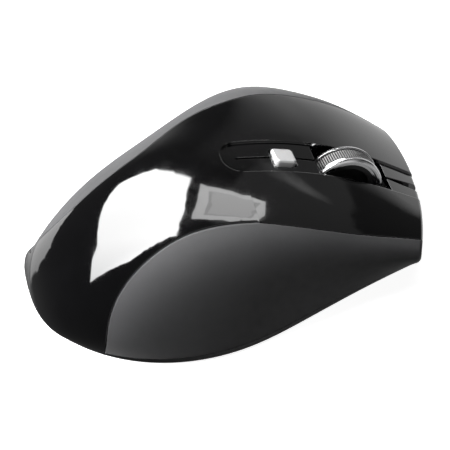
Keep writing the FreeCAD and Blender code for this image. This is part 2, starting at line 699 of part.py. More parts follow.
def circle_sketch(body, name, role, radii, centre=("0", "0")):
    """Concentric circles whose radii are expressions bound to the sheet."""
    sketch = body.newObject("Sketcher::SketchObject", name)
    sketch.AttachmentSupport = [(plane_of(body, role), "")]
    sketch.MapMode = "FlatFace"
    middle_point = V(evaluate(centre[0]), evaluate(centre[1]), 0)
    for i, text in enumerate(radii):
        sketch.addGeometry(Part.Circle(middle_point, V(0, 0, 1), evaluate(text)), False)
        index = sketch.addConstraint(Sketcher.Constraint("Radius", i, evaluate(text)))
        sketch.setExpression("Constraints[%d]" % index, bound(text))
        if centre == ("0", "0"):
            sketch.addConstraint(Sketcher.Constraint("Coincident", i, 3, -1, 1))
            continue
        for kind, part in (("DistanceX", centre[0]), ("DistanceY", centre[1])):
            index = sketch.addConstraint(Sketcher.Constraint(kind, -1, 1, i, 3, evaluate(part)))
            sketch.setExpression("Constraints[%d]" % index, bound(part))
    return sketch


def evaluate(text):
    """Value of an expression in sheet names."""
    return float(sheet.evalExpression(text))


def pad(body, sketch, length, both_ways=False):
    feature = body.newObject("PartDesign::Pad", sketch.Name + "_pad")
    feature.Profile = sketch
    feature.setExpression("Length", bound(length))
    feature.Midplane = both_ways
    return feature


def pocket_through(body, sketch):
    feature = body.newObject("PartDesign::Pocket", sketch.Name + "_pocket")
    feature.Profile = sketch
    feature.Type = "ThroughAll"
    feature.Midplane = True
    return feature


def revolve(body, sketch):
    feature = body.newObject("PartDesign::Revolution", sketch.Name + "_turned")
    feature.Profile = sketch
    feature.ReferenceAxis = (sketch, ["V_Axis"])
    feature.Angle = 360
    return feature


def rectangle(x0, x1, y0, y1):
    return [(x0, y0), (x1, y0), (x1, y1), (x0, y1)]


def round_edges(body, feature, radius, wanted):
    """PartDesign fillet on the edges of a feature that a test picks out."""
    doc.recompute()
    names = ["Edge%d" % (i + 1) for i, edge in enumerate(feature.Shape.Edges) if wanted(edge)]
    fillet = body.newObject("PartDesign::Fillet", feature.Name + "_round")
    fillet.Base = (feature, names)
    fillet.Radius = radius
    body.Tip = fillet
    return fillet


def is_upright(edge):
    box_ = edge.BoundBox
    return box_.XLength < 0.01 and box_.YLength < 0.01 and box_.ZLength > 0.1


# Scroll wheel: everything turns about the axle, which runs along X.
WHEEL_AT = ("0", "wheel_y", "wheel_z")
ALONG_X = FreeCAD.Rotation(V(0, 1, 0), 90)
ALONG_MINUS_X = FreeCAD.Rotation(V(0, 1, 0), -90)

tyre = new_body("wheel_tyre", WHEEL_AT, ALONG_X)
tyre_ring = pad(tyre, circle_sketch(tyre, "tyre_outline", "XY_Plane", ("tyre_radius", "rim_inner")),
                "2 * tyre_half", True)
groove_outline = outline_sketch(tyre, "groove_outline", "XY_Plane", rectangle(
    "tyre_radius - rib_depth", "tyre_radius + 1", "-rib_space / 2", "rib_space / 2"))
groove = pocket_through(tyre, groove_outline)
ribs = tyre.newObject("PartDesign::PolarPattern", "tyre_ribs")
ribs.Originals = [groove]
ribs.Axis = (plane_of(tyre, "Z_Axis"), [""])
ribs.Angle = 360
ribs.setExpression("Occurrences", bound("rib_count"))
tyre.Tip = ribs

for rim_label, turn in (("wheel_rim_right", ALONG_X), ("wheel_rim_left", ALONG_MINUS_X)):
    rim = new_body(rim_label, WHEEL_AT, turn)
    rim_section = outline_sketch(rim, rim_label + "_section", "XZ_Plane", [
        ("rim_inner", "tyre_half + 0.02"), ("tyre_radius - 0.7", "tyre_half + 0.02"),
        ("tyre_radius - 0.7", "tyre_half + tyre_groove"),
        ("wheel_radius - 0.25", "tyre_half + tyre_groove"),
        ("wheel_radius", "tyre_half + tyre_groove + 0.25"), ("wheel_radius - 0.05", "rim_outside - 0.75"),
        ("wheel_radius - 0.3", "rim_outside - 0.3"), ("wheel_radius - 0.75", "rim_outside"),
        ("rim_inner + 0.95", "rim_outside"), ("rim_inner + 0.75", "rim_outside - rim_face"),
        ("rim_inner", "rim_outside - rim_face")])
    revolve(rim, rim_section)

hub = new_body("wheel_hub", WHEEL_AT, ALONG_X)
hub_section = outline_sketch(hub, "hub_section", "XZ_Plane", [
    ("axle_radius + 0.01", "-boss_half"), ("boss_radius", "-boss_half"),
    ("boss_radius", "-hub_half + hub_dish"),
    ("hub_radius - 1.4", "-hub_half + hub_dish"), ("hub_radius - 1.4", "-hub_half"),
    ("hub_radius", "-hub_half"), ("hub_radius", "hub_half"), ("hub_radius - 1.4", "hub_half"),
    ("hub_radius - 1.4", "hub_half - hub_dish"), ("boss_radius", "hub_half - hub_dish"),
    ("boss_radius", "boss_half"), ("axle_radius + 0.01", "boss_half")])
revolve(hub, hub_section)

axle = new_body("wheel_axle", WHEEL_AT, ALONG_X)
pad(axle, circle_sketch(axle, "axle_outline", "XY_Plane", ("axle_radius",)), "2 * axle_half", True)

# Resolution button: a crowned cap square to the sloping channel floor.
SLOPE = FreeCAD.Rotation(V(1, 0, 0), -size("dpi_tilt"))
cap = new_body("dpi_button", ("0", "dpi_y - dpi_back", "dpi_top - dpi_height"), SLOPE)
cap_outline = outline_sketch(cap, "cap_outline", "XY_Plane", rectangle(
    "-dpi_width / 2", "dpi_width / 2", "-dpi_length / 2", "dpi_length / 2"))
cap_pad = pad(cap, cap_outline, "dpi_height")
cap_corners = round_edges(cap, cap_pad, size("dpi_corner"), is_upright)
crown_level = size("dpi_height") - 0.01
round_edges(cap, cap_corners, size("dpi_crown"), lambda edge: edge.BoundBox.ZMin > crown_level)
cap_flange = outline_sketch(cap, "cap_flange", "XY_Plane", rectangle(
    "-dpi_width / 2 - dpi_flange", "dpi_width / 2 + dpi_flange",
    "-dpi_length / 2 - dpi_flange", "dpi_length / 2 + dpi_flange"))
cap.Tip = pad(cap, cap_flange, "dpi_flange_thick")
cap_stem = pad(cap, circle_sketch(cap, "cap_stem", "XY_Plane", ("dpi_stem",)), "dpi_stem_long")
cap_stem.Reversed = True
cap.Tip = cap_stem

# Main board, with its sensor window and one cut front corner.
board = new_body("main_board", ("0", "0", "pcb_bottom"))
board_outline = outline_sketch(board, "board_outline", "XY_Plane", [
    ("-pcb_half", "pcb_rear"), ("pcb_half", "pcb_rear"), ("pcb_half", "pcb_front - 6"),
    ("pcb_half - 3", "pcb_front"), ("-pcb_half", "pcb_front")])
pad(board, board_outline, "pcb_thick")
window = outline_sketch(board, "sensor_window", "XY_Plane", rectangle(
    "-3.5", "3.5", "sensor_y - 3.5", "sensor_y + 3.5"))
pocket_through(board, window)

# Battery door: a flat plate with grooves between finger ridges on its outer face.
door = new_body("battery_door", ("door_left", "door_rear", "casing_bottom"))
door_outline = outline_sketch(door, "door_outline", "XY_Plane", rectangle(
    "0", "door_right - door_left", "0", "door_front - door_rear"))
round_edges(door, pad(door, door_outline, "door_thick"), 1.5, is_upright)
for ridge in range(int(size("ridge_count"))):
    groove_y = "ridge_start + %d * ridge_pitch" % ridge
    ridge_sketch = outline_sketch(door, "ridge_%d" % ridge, "XY_Plane", rectangle(
        "ridge_side", "door_right - door_left - ridge_side", groove_y, groove_y + " + ridge_wide"))
    ridge_cut = door.newObject("PartDesign::Pocket", "ridge_cut_%d" % ridge)
    ridge_cut.Profile = ridge_sketch
    ridge_cut.setExpression("Length", bound("ridge_deep"))
    ridge_cut.Reversed = True
    door.Tip = ridge_cut

# ---------------------------------------------------------------------------------------
# Pieces made of plain blocks and cylinders.
# ---------------------------------------------------------------------------------------

board_top = "pcb_bottom + pcb_thick"
on_board = board_top + " + stand_off"
switch_top = board_top + " + switch_tall"
SIDES = (("left", -1), ("right", 1))


def side_span(side, inner, outer_face):
    """Span between two distances from the middle plane, on one side of it."""
    if side > 0:
        return (inner, outer_face)
    return ("-%s" % outer_face, "-%s" % inner)


def click_switch(label, x, y, turned):
    """Switch body with the slot that its plunger runs in; turned lays it along X."""
    body_half = ["switch_wide / 2", "switch_long / 2"]
    slot_half = ["plunger_wide / 2", "plunger_long / 2"]
    if turned:
        body_half.reverse()
        slot_half.reverse()
    body = box(label + "_body", [around(x, body_half[0]), around(y, body_half[1]),
                                 (board_top, switch_top)])
    slot = box(label + "_slot", [around(x, slot_half[0] + " + slide_gap"),
                                 around(y, slot_half[1] + " + slide_gap"),
                                 (switch_top + " - plunger_in - 1.4", switch_top + " + 1")])
    node(cut(label + "_cut", body, slot), label)
    plunger = box(label + "_plunger", [around(x, slot_half[0]), around(y, slot_half[1]),
                                       (switch_top + " - plunger_in", switch_top + " + plunger_out")])
    node(plunger, label.replace("switch", "plunger"))


click_switch("left_switch", "-switch_x", "switch_y", False)
click_switch("right_switch", "switch_x", "switch_y", False)
click_switch("middle_switch", "0", "middle_switch_y", True)

# Wheel yoke: two cheeks with the axle's bearings, a bridge under the wheel and two arms
# that carry a bar over the middle switch.
yoke_pieces = []
for side_name, side in SIDES:
    cheek = side_span(side, "cheek_in", "cheek_out")
    yoke_pieces.append(box("yoke_cheek_" + side_name, [
        cheek, around("wheel_y", "cheek_half"), ("yoke_foot", "wheel_z + cheek_over")]))
    yoke_pieces.append(box("yoke_arm_" + side_name, [
        cheek, ("wheel_y + cheek_half", "wheel_y + arm_reach"), ("arm_bottom", "arm_top")]))
yoke_pieces.append(box("yoke_bridge", [
    around("0", "cheek_out"), around("wheel_y", "cheek_half"), ("yoke_foot", "bridge_top")]))
yoke_pieces.append(box("yoke_bar", [
    around("0", "cheek_out"), ("wheel_y + arm_reach - bar_wide", "wheel_y + arm_reach"),
    (switch_top + " + plunger_out + touch_gap", "arm_top")]))
yoke_bearing = cylinder("yoke_bearing", "axle_radius + 0.05", "2 * cheek_out + 2",
                        ("-cheek_out - 1", "wheel_y", "wheel_z"), V(1, 0, 0))
node(cut("yoke_cut", fuse("yoke_blank", yoke_pieces), yoke_bearing), "wheel_yoke")

# Guide frame on the main board: four posts that keep the yoke upright.
frame_pieces = []
for side_name, side in SIDES:
    post_x = side_span(side, "guide_in", "guide_out")
    for end, post_y in (("rear", ("wheel_y - guide_reach", "wheel_y - guide_slot")),
                        ("front", ("wheel_y + guide_slot", "wheel_y + guide_reach"))):
        frame_pieces.append(box("guide_%s_%s" % (side_name, end), [
            post_x, post_y, (on_board, "wheel_z - guide_under")]))
frame_pieces.append(box("guide_plate_block", [
    around("0", "guide_out"), around("wheel_y", "guide_reach"), (on_board, "guide_plate")]))
node(fuse("guide_frame", frame_pieces), "wheel_frame")

# Scroll encoder: a disc on the axle and an upright sensor beside it on the board.
disc = cylinder("encoder_disc_blank", "disc_radius", "disc_thick", ("disc_left", "wheel_y", "wheel_z"),
                V(1, 0, 0))
disc_bore = cylinder("encoder_disc_bore", "axle_radius + 0.01", "disc_thick + 2",
                     ("disc_left - 1", "wheel_y", "wheel_z"), V(1, 0, 0))
node(cut("encoder_disc_cut", disc, disc_bore), "encoder_disc")
fork_pieces = [
    box("encoder_foot", [
        ("fork_left", "fork_foot"), ("wheel_y - fork_rear", "wheel_y - fork_front"),
        (on_board, "fork_low")]),
    box("encoder_stem", [
        ("fork_left", "fork_stem"), ("wheel_y - fork_rear", "wheel_y - fork_reach"),
        ("fork_low", "fork_top")]),
]
node(fuse("encoder_body", fork_pieces), "scroll_encoder")

# Resolution switch on a small upper board that stands on two columns.
columns = []
for side_name, side in SIDES:
    columns.append(cylinder("column_" + side_name, "column_radius",
                            "board_bottom - 2 * stand_off - pcb_bottom - pcb_thick",
                            ("%d * column_at" % side, "dpi_y", on_board)))
columns.append(box("column_tie", [
    around("0", "column_at"), around("dpi_y", "1"),
    ("board_bottom - tie_tall", "board_bottom - stand_off")]))
node(fuse("columns", columns), "board_columns")
node(box("upper_board_block", [
    around("0", "upper_half"), around("dpi_y", "upper_long"),
    ("board_bottom", "board_bottom + upper_thick")]), "upper_board")
tact_pieces = [
    box("tact_case", [
        around("0", "tact_half"), around("dpi_y", "tact_half"),
        ("board_bottom + upper_thick + stand_off", "board_bottom + tact_top")]),
    cylinder("tact_button", "tact_radius", "1", ("0", "dpi_y", "board_bottom + tact_crown - 1")),
]
node(fuse("tact", tact_pieces), "dpi_switch")

# Optical sensor over its window, lens under it, light source beside it.
node(box("sensor_block", [
    around("0", "chip_half"), around("sensor_y", "chip_long"),
    (on_board, board_top + " + chip_tall")]), "optical_sensor")
lens_pieces = [
    box("lens_plate", [around("0", "lens_half"), around("sensor_y", "lens_long"),
                       ("lens_bottom", "lens_top")]),
    cylinder("lens_cap", "lens_radius", "lens_dome", ("0", "sensor_y", "lens_top - 0.1")),
]
node(fuse("lens", lens_pieces), "sensor_lens")
node(cylinder("lamp", "lamp_radius", "lamp_tall", ("lamp_x", "sensor_y", on_board)), "light_source")

# AA cells side by side, the left one reversed.
cell_front = "cell_rear + cell_length"
for label, x, nub_y in (("right_battery", "cell_right", cell_front),
                        ("left_battery", "cell_left", "cell_rear - nub_long")):
    can = cylinder(label + "_can", "cell_radius", "cell_length", (x, "cell_rear", "cell_z"), V(0, 1, 0))
    nub = cylinder(label + "_nub", "nub_radius", "nub_long", (x, nub_y, "cell_z"), V(0, 1, 0))
    node(fuse(label + "_cell", [can, nub]), label)

# Leaf contacts at both ends of the bay.
front_leaf_y = cell_front + " + nub_long + nub_gap"
rear_leaf_y = "cell_rear - nub_long - nub_gap"
for label, leaf_y in (("front_contact", (front_leaf_y, front_leaf_y + " + front_leaf")),
                      ("rear_contact", (rear_leaf_y + " - rear_leaf", rear_leaf_y))):
    leaves = []
    for side_name, x in (("left", "cell_left"), ("right", "cell_right")):
        leaves.append(box("%s_%s" % (label, side_name), [
            around(x, "leaf_half"), leaf_y, ("cell_z - leaf_down", "cell_z + leaf_up")]))
    leaves.append(box(label + "_link", [
        ("cell_left", "cell_right"), leaf_y, ("cell_z - leaf_down", "cell_z - leaf_down + link_tall")]))
    node(fuse(label + "_leaves", leaves), label)

# Power switch: a knob in its slot with a wide flange above the floor.
power_pieces = [
    box("power_knob", [
        around("power_x", "knob_half"), ("power_y - knob_rear", "power_y - knob_front"),
        ("knob_bottom", "floor_top + 0.4")]),
    box("power_flange", [
        around("power_x", "flange_half"), ("power_y - flange_rear", "power_y + flange_front"),
        ("floor_top + 0.1", "floor_top + 0.1 + flange_thick")]),
]
node(fuse("power_slider", power_pieces), "power_switch")

# Case screws, one group.
screw_pieces = []
for number, (x, y) in enumerate(SCREWS):
    at_x, at_y = "%g" % x, "%g" % y
    screw_pieces.append(cylinder("screw_shank_%d" % number, "screw_radius", "screw_tip - shank_bottom",
                                 (at_x, at_y, "shank_bottom")))
    screw_pieces.append(cylinder("screw_head_%d" % number, "screw_head", "head_tall",
                                 (at_x, at_y, "head_bottom")))
node(fuse("screw_group", screw_pieces), "case_screws")

# ---------------------------------------------------------------------------------------
# Check and write every sub-part.
# ---------------------------------------------------------------------------------------

doc.recompute()
for item in doc.Objects:
    if "Invalid" in item.State or "Error" in item.State:
        raise RuntimeError("%s: %s" % (item.Name, item.State))
os.makedirs("parts", exist_ok=True)
for item in NODES:
    shape = item.Shape
    if shape.isNull() or not shape.isValid():
        raise RuntimeError("bad shape: " + item.Label)
    shape.exportStep(os.path.join("parts", item.Label + ".step"))
    print("%-18s %d solid(s) %9.1f mm3" % (item.Label, len(shape.Solids), shape.Volume))
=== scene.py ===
import json
import math

import bpy
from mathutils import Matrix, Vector


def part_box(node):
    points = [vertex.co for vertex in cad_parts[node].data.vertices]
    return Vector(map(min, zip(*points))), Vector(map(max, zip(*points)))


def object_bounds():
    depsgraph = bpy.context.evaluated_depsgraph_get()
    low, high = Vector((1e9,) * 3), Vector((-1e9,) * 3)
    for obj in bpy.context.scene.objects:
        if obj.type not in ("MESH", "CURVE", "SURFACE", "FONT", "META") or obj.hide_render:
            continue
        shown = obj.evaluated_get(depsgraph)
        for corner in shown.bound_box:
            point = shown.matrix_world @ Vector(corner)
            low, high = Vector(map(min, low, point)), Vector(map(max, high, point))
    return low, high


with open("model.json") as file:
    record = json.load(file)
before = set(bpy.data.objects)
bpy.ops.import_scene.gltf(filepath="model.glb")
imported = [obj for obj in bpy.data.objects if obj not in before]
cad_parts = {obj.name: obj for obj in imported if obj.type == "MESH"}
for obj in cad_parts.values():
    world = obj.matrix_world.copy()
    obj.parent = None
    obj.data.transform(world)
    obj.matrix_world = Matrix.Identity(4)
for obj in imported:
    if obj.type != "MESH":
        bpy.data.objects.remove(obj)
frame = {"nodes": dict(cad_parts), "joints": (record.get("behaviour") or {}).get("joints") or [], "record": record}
cad_low, cad_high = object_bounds()
nodes = frame["nodes"]
joints = {joint["name"]: joint for joint in frame["joints"]}
bend_y = joints["left_key_press"]["pos_m"][1]
MM = 0.001
centre = (cad_low + cad_high) / 2
length = cad_high.y - cad_low.y


# ---------------------------------------------------------------- material helpers

class Finish:
    """A procedural material around one Principled shader, in the object's own coordinates."""

    def __init__(self, name, **sockets):
        self.material = bpy.data.materials.new(name)
        self.material.use_nodes = True
        self.tree = self.material.node_tree
        self.shader = self.tree.nodes["Principled BSDF"]
        for socket, value in sockets.items():
            self.shader.inputs[socket.replace("_", " ")].default_value = value
        self.place = self.node("ShaderNodeTexCoord").outputs["Object"]

    def node(self, kind, **settings):
        made = self.tree.nodes.new(kind)
        for key, value in settings.items():
            setattr(made, key, value)
        return made

    def link(self, out, into):
        self.tree.links.new(out, into)

    def noise(self, size, detail=3.0, stretch=(1, 1, 1)):
        """Noise whose features are about `size` metres across."""
        mapping = self.node("ShaderNodeMapping")
        mapping.inputs["Scale"].default_value = stretch
        self.link(self.place, mapping.inputs["Vector"])
        noise = self.node("ShaderNodeTexNoise")
        noise.inputs["Scale"].default_value = 1 / size
        noise.inputs["Detail"].default_value = detail
        self.link(mapping.outputs["Vector"], noise.inputs["Vector"])
        return noise.outputs["Fac"]

    def spread(self, factor, low, high, start=0.3, end=0.7):
        """The factor's range start..end, mapped to low..high."""
        ranged = self.node("ShaderNodeMapRange")
        settings = {"From Min": start, "From Max": end, "To Min": low, "To Max": high}
        for socket, value in settings.items():
            ranged.inputs[socket].default_value = value
        self.link(factor, ranged.inputs["Value"])
        return ranged.outputs["Result"]

    def colours(self, factor, *stops):
        """Base colour from a ramp of (place, colour) stops driven by factor."""
        ramp = self.node("ShaderNodeValToRGB")
        while len(ramp.color_ramp.elements) < len(stops):
            ramp.color_ramp.elements.new(0.5)
        for element, (place, colour) in zip(ramp.color_ramp.elements, stops):
            element.position = place
            element.color = (*colour, 1)
        self.link(factor, ramp.inputs["Fac"])
        self.link(ramp.outputs["Color"], self.shader.inputs["Base Color"])

    def roughness(self, factor, low, high):
        self.link(self.spread(factor, low, high), self.shader.inputs["Roughness"])

    def soft_edge(self, radius, flat_at=None):
        """Normals rounded over edges by a radius, except beside the upright plane y = flat_at.
        The Mix node's vector sockets have no names of their own, so they go by number."""
        softened = self.node("ShaderNodeBevel", samples=6)
        softened.inputs["Radius"].default_value = radius
        if flat_at is None:
            return softened.outputs["Normal"]
        parts = self.node("ShaderNodeSeparateXYZ")
        self.link(self.place, parts.inputs["Vector"])
        beside = self.node("ShaderNodeMath", operation="COMPARE")
        beside.inputs[1].default_value = flat_at
        beside.inputs[2].default_value = 2 * radius
        self.link(parts.outputs["Y"], beside.inputs[0])
        choice = self.node("ShaderNodeMix", data_type="VECTOR")
        self.link(beside.outputs["Value"], choice.inputs["Factor"])
        self.link(softened.outputs["Normal"], choice.inputs[4])
        self.link(self.node("ShaderNodeNewGeometry").outputs["Normal"], choice.inputs[5])
        return choice.outputs[1]

    def bump(self, *layers, normal):
        """Stacked bump layers of (factor, height in metres) over a starting normal."""
        for factor, height in layers:
            bump = self.node("ShaderNodeBump")
            bump.inputs["Strength"].default_value = 1.0
            bump.inputs["Distance"].default_value = height
            self.link(factor, bump.inputs["Height"])
            self.link(normal, bump.inputs["Normal"])
            normal = bump.outputs["Normal"]
        self.link(normal, self.shader.inputs["Normal"])
        self.link(normal, self.shader.inputs["Coat Normal"])


def grey(level, tint=0.0):
    """A near-neutral colour; tint leans it to blue."""
    return (level, level, level * (1 + tint))


def metres(size_mm):
    return size_mm * MM


# ---------------------------------------------------------------- materials

def gloss_black():
    """Piano-black plastic under a hard clear coat."""
    finish = Finish("gloss_black", IOR=1.52, Coat_Weight=1.0, Coat_Roughness=0.015, Coat_IOR=1.62)
    cloud = finish.noise(metres(9), 4)
    finish.colours(cloud, (0.3, grey(0.0008, 0.2)), (0.7, grey(0.0014, 0.2)))
    finish.roughness(finish.noise(metres(3), 5), 0.05, 0.1)
    finish.bump((finish.noise(metres(5), 2), 0.0000012), normal=finish.soft_edge(metres(0.25), bend_y))
    return finish.material


def soft_touch():
    """Rubbery grip paint with a fine grain."""
    finish = Finish("soft_touch", IOR=1.45, Sheen_Weight=0.18, Sheen_Roughness=0.45)
    patch = finish.noise(metres(14), 4)
    finish.colours(patch, (0.25, grey(0.05, 0.04)), (0.75, grey(0.06, 0.04)))
    finish.roughness(finish.noise(metres(2.5), 5), 0.52, 0.62)
    finish.bump(
        (finish.noise(metres(0.32), 3), 0.000012),
        (finish.noise(metres(0.9), 2), 0.000010),
        normal=finish.soft_edge(metres(0.25)))
    return finish.material


def moulded(name, low, high, rough=(0.42, 0.55), grain_mm=0.28, grain_height=0.00002):
    """Injection-moulded plastic with a spark-eroded grain."""
    tint = 0.04
    finish = Finish(name, IOR=1.5)
    finish.colours(finish.noise(metres(8), 4), (0.3, grey(low, tint)), (0.7, grey(high, tint)))
    finish.roughness(finish.noise(metres(1.6), 4), *rough)
    finish.bump((finish.noise(metres(grain_mm), 3), grain_height), normal=finish.soft_edge(metres(0.2)))
    return finish.material


def coloured_plastic(name, dark, light):
    """Smooth plastic of a small electrical part."""
    finish = Finish(name, IOR=1.5)
    finish.colours(finish.noise(metres(4), 3), (0.3, dark), (0.7, light))
    finish.roughness(finish.noise(metres(1.2), 4), 0.35, 0.5)
    finish.bump((finish.noise(metres(0.4), 2), 0.000008), normal=finish.soft_edge(metres(0.12)))
    return finish.material


def metal(name, dark, light, rough, brushed=(1, 1, 1)):
    """Bare or plated metal; brushed squeezes its fine scratches along an axis."""
    finish = Finish(name, Metallic=1.0)
    scratches = metres(0.5)
    finish.colours(finish.noise(metres(5), 4), (0.3, dark), (0.7, light))
    finish.roughness(finish.noise(scratches, 4, brushed), *rough)
    finish.bump((finish.noise(scratches, 3, brushed), 0.000002), normal=finish.soft_edge(metres(0.12)))
    return finish.material


def silver():
    """Satin metallic paint of the resolution button: fine flakes under a clear coat."""
    finish = Finish("silver", Metallic=0.55, Coat_Weight=0.6, Coat_Roughness=0.08, Coat_IOR=1.5)
    flakes = finish.noise(metres(0.12), 2)
    finish.colours(flakes, (0.35, grey(0.78)), (0.65, grey(0.9)))
    finish.roughness(finish.noise(metres(0.5), 3), 0.28, 0.36)
    finish.bump((flakes, 0.000002), normal=finish.soft_edge(metres(0.35)))
    return finish.material


def wheel_rubber():
    """Rubber with painted shade between its ribs: the grooves are coloured darker and reflect less than the
    crests.
    """
    finish = Finish("wheel_rubber", IOR=1.5)
    low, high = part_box("wheel_tyre")
    outside = (high.z - low.z) / 2
    axis = (low + high) / 2
    from_axis = finish.node("ShaderNodeVectorMath", operation="SUBTRACT")
    from_axis.inputs[1].default_value = axis
    finish.link(finish.place, from_axis.inputs[0])
    across = finish.node("ShaderNodeVectorMath", operation="MULTIPLY")
    across.inputs[1].default_value = (0, 1, 1)
    finish.link(from_axis.outputs["Vector"], across.inputs[0])
    radius = finish.node("ShaderNodeVectorMath", operation="LENGTH")
    finish.link(across.outputs["Vector"], radius.inputs[0])
    groove = outside - metres(0.28)
    crest = outside - metres(0.02)
    # Painted shade: from the crests down into the grooves between the ribs the colour falls to near black, where
    # shade falls.
    painted_groove_shade = finish.spread(radius.outputs["Value"], 0, 1, groove, crest)
    shade_below, lit_above = 0.3, 0.95
    finish.colours(painted_groove_shade, (shade_below, grey(0.001)), (lit_above, grey(0.2)))
    # Painted shade on the reflections too: the specular level falls from the crests to nothing in the grooves.
    shaded_shine = finish.spread(painted_groove_shade, 0, 0.5, shade_below, lit_above)
    finish.link(shaded_shine, finish.shader.inputs["Specular IOR Level"])
    finish.roughness(finish.noise(metres(0.6), 4), 0.42, 0.55)
    finish.bump((finish.noise(metres(0.15), 3), 0.00001), normal=finish.soft_edge(metres(0.02)))
    return finish.material


def circuit_board():
    """Green solder mask over copper tracks."""
    finish = Finish("board_green", IOR=1.5, Coat_Weight=0.5, Coat_Roughness=0.15)
    finish.colours(
        finish.noise(metres(2.2), 5, (1, 3, 1)),
        (0.42, (0.004, 0.045, 0.016)), (0.5, (0.012, 0.11, 0.04)), (0.6, (0.006, 0.06, 0.022)),
    )
    finish.roughness(finish.noise(metres(0.8), 3), 0.25, 0.4)
    finish.bump((finish.noise(metres(1.1), 3), 0.00001), normal=finish.soft_edge(metres(0.1)))
    return finish.material


def clear_plastic():
    """Clear acrylic of the sensor's lens and light source."""
    finish = Finish("clear_plastic", IOR=1.49, Transmission_Weight=0.9)
    finish.colours(finish.noise(metres(3), 2), (0.3, (0.75, 0.78, 0.8)), (0.7, (0.85, 0.87, 0.9)))
    finish.roughness(finish.noise(metres(1), 3), 0.04, 0.1)
    finish.bump((finish.noise(metres(2), 2), 0.000004), normal=finish.soft_edge(metres(0.15)))
    return finish.material


def cell_wrap():
    """Blue shrink wrap of the battery cells."""
    finish = Finish("cell_wrap", IOR=1.5, Coat_Weight=0.8, Coat_Roughness=0.06)
    finish.colours(finish.noise(metres(10), 3), (0.3, (0.02, 0.06, 0.16)), (0.7, (0.03, 0.09, 0.22)))
    finish.roughness(finish.noise(metres(1.5), 3), 0.2, 0.32)
    finish.bump((finish.noise(metres(1.2), 3), 0.00001), normal=finish.soft_edge(metres(0.3)))
    return finish.material


FINISHES = {
    "gloss_black": gloss_black(),
    "soft_touch": soft_touch(),
    "base_plastic": moulded("base_plastic", 0.012, 0.018),
    "foot_plastic": moulded("foot_plastic", 0.06, 0.08, (0.3, 0.42), 0.8, 0.000006),
    "silver": silver(),
    "chrome": metal("chrome", grey(0.86, 0.01), grey(0.93, 0.01), (0.14, 0.2)),
    "wheel_rubber": wheel_rubber(),
    "hub_plastic": moulded("hub_plastic", 0.01, 0.016, (0.3, 0.45)),
    "steel": metal("steel", grey(0.42), grey(0.55), (0.2, 0.32), (1, 1, 12)),
    "contact_metal": metal("contact_metal", (0.62, 0.6, 0.55), (0.75, 0.73, 0.68), (0.18, 0.3)),
    "board_green": circuit_board(),
    "switch_black": coloured_plastic("switch_black", grey(0.012), grey(0.02)),
    "plunger_red": coloured_plastic("plunger_red", (0.35, 0.02, 0.015), (0.48, 0.03, 0.02)),
    "switch_grey": coloured_plastic("switch_grey", grey(0.2), grey(0.27)),
    "clear_plastic": clear_plastic(),
    "cell_wrap": cell_wrap(),
}

for subpart in frame["record"]["subparts"]:
    shown = nodes[subpart["node"]]
    shown.data.materials.clear()
    shown.data.materials.append(FINISHES[subpart["material_slot"]])


# ---------------------------------------------------------------- floor, light and camera


def glow(name, low, high):
    """Light given off by a studio panel, graded from its foot to its head and clear at its rim."""
    material = bpy.data.materials.new(name)
    material.use_nodes = True
    tree = material.node_tree
    tree.nodes.clear()
    place = tree.nodes.new("ShaderNodeTexCoord")
    parts = tree.nodes.new("ShaderNodeSeparateXYZ")
    graded = tree.nodes.new("ShaderNodeMapRange")
    graded.inputs["To Min"].default_value = low
    graded.inputs["To Max"].default_value = high
    inside = tree.nodes.new("ShaderNodeAttribute")
    inside.attribute_name = "inside"
    emission = tree.nodes.new("ShaderNodeEmission")
    clear = tree.nodes.new("ShaderNodeBsdfTransparent")
    mixed = tree.nodes.new("ShaderNodeMixShader")
    output = tree.nodes.new("ShaderNodeOutputMaterial")
    tree.links.new(place.outputs["Generated"], parts.inputs["Vector"])
    tree.links.new(parts.outputs["Z"], graded.inputs["Value"])
    tree.links.new(graded.outputs["Result"], emission.inputs["Strength"])
    tree.links.new(inside.outputs["Fac"], mixed.inputs["Fac"])
    tree.links.new(clear.outputs["BSDF"], mixed.inputs[1])
    tree.links.new(emission.outputs["Emission"], mixed.inputs[2])
    tree.links.new(mixed.outputs["Shader"], output.inputs["Surface"])
    return material


def mirrored_panel(name, directions, low, high, fade=0.02, distance=6.0):
    """A studio panel that only reflections see, its corners in these directions from the mouse.
    It fades in over that share of the way from its rim to its middle. Of two panels in one
    direction, the nearer hides the other."""
    mesh = bpy.data.meshes.new(name)
    rim = [centre + Vector(direction).normalized() * distance for direction in directions]
    middle = sum(rim, Vector()) / len(rim)
    lit = [corner.lerp(middle, fade) for corner in rim]
    count = len(rim)
    band = [(i, (i + 1) % count, count + (i + 1) % count, count + i) for i in range(count)]
    mesh.from_pydata(rim + lit, [], band + [tuple(range(count, 2 * count))])
    inside = mesh.attributes.new("inside", "FLOAT", "POINT")
    inside.data.foreach_set("value", [0.0] * count + [1.0] * count)
    panel = bpy.data.objects.new(name, mesh)
    bpy.context.scene.collection.objects.link(panel)
    mesh.materials.append(glow(name, low, high))
    panel.visible_camera = False
    panel.visible_diffuse = False
    panel.visible_shadow = False


def area_light(name, direction, distance, size, energy):
    """A round soft light aimed at the mouse; the panels give the reflections."""
    light = bpy.data.lights.new(name, "AREA")
    light.shape = "DISK"
    light.size = size
    light.energy = energy
    lamp = bpy.data.objects.new(name, light)
    bpy.context.scene.collection.objects.link(lamp)
    away = Vector(direction).normalized()
    lamp.location = centre + away * distance
    lamp.rotation_mode = "QUATERNION"
    lamp.rotation_quaternion = away.to_track_quat("Z", "Y")
    lamp.visible_camera = False
    lamp.visible_glossy = False


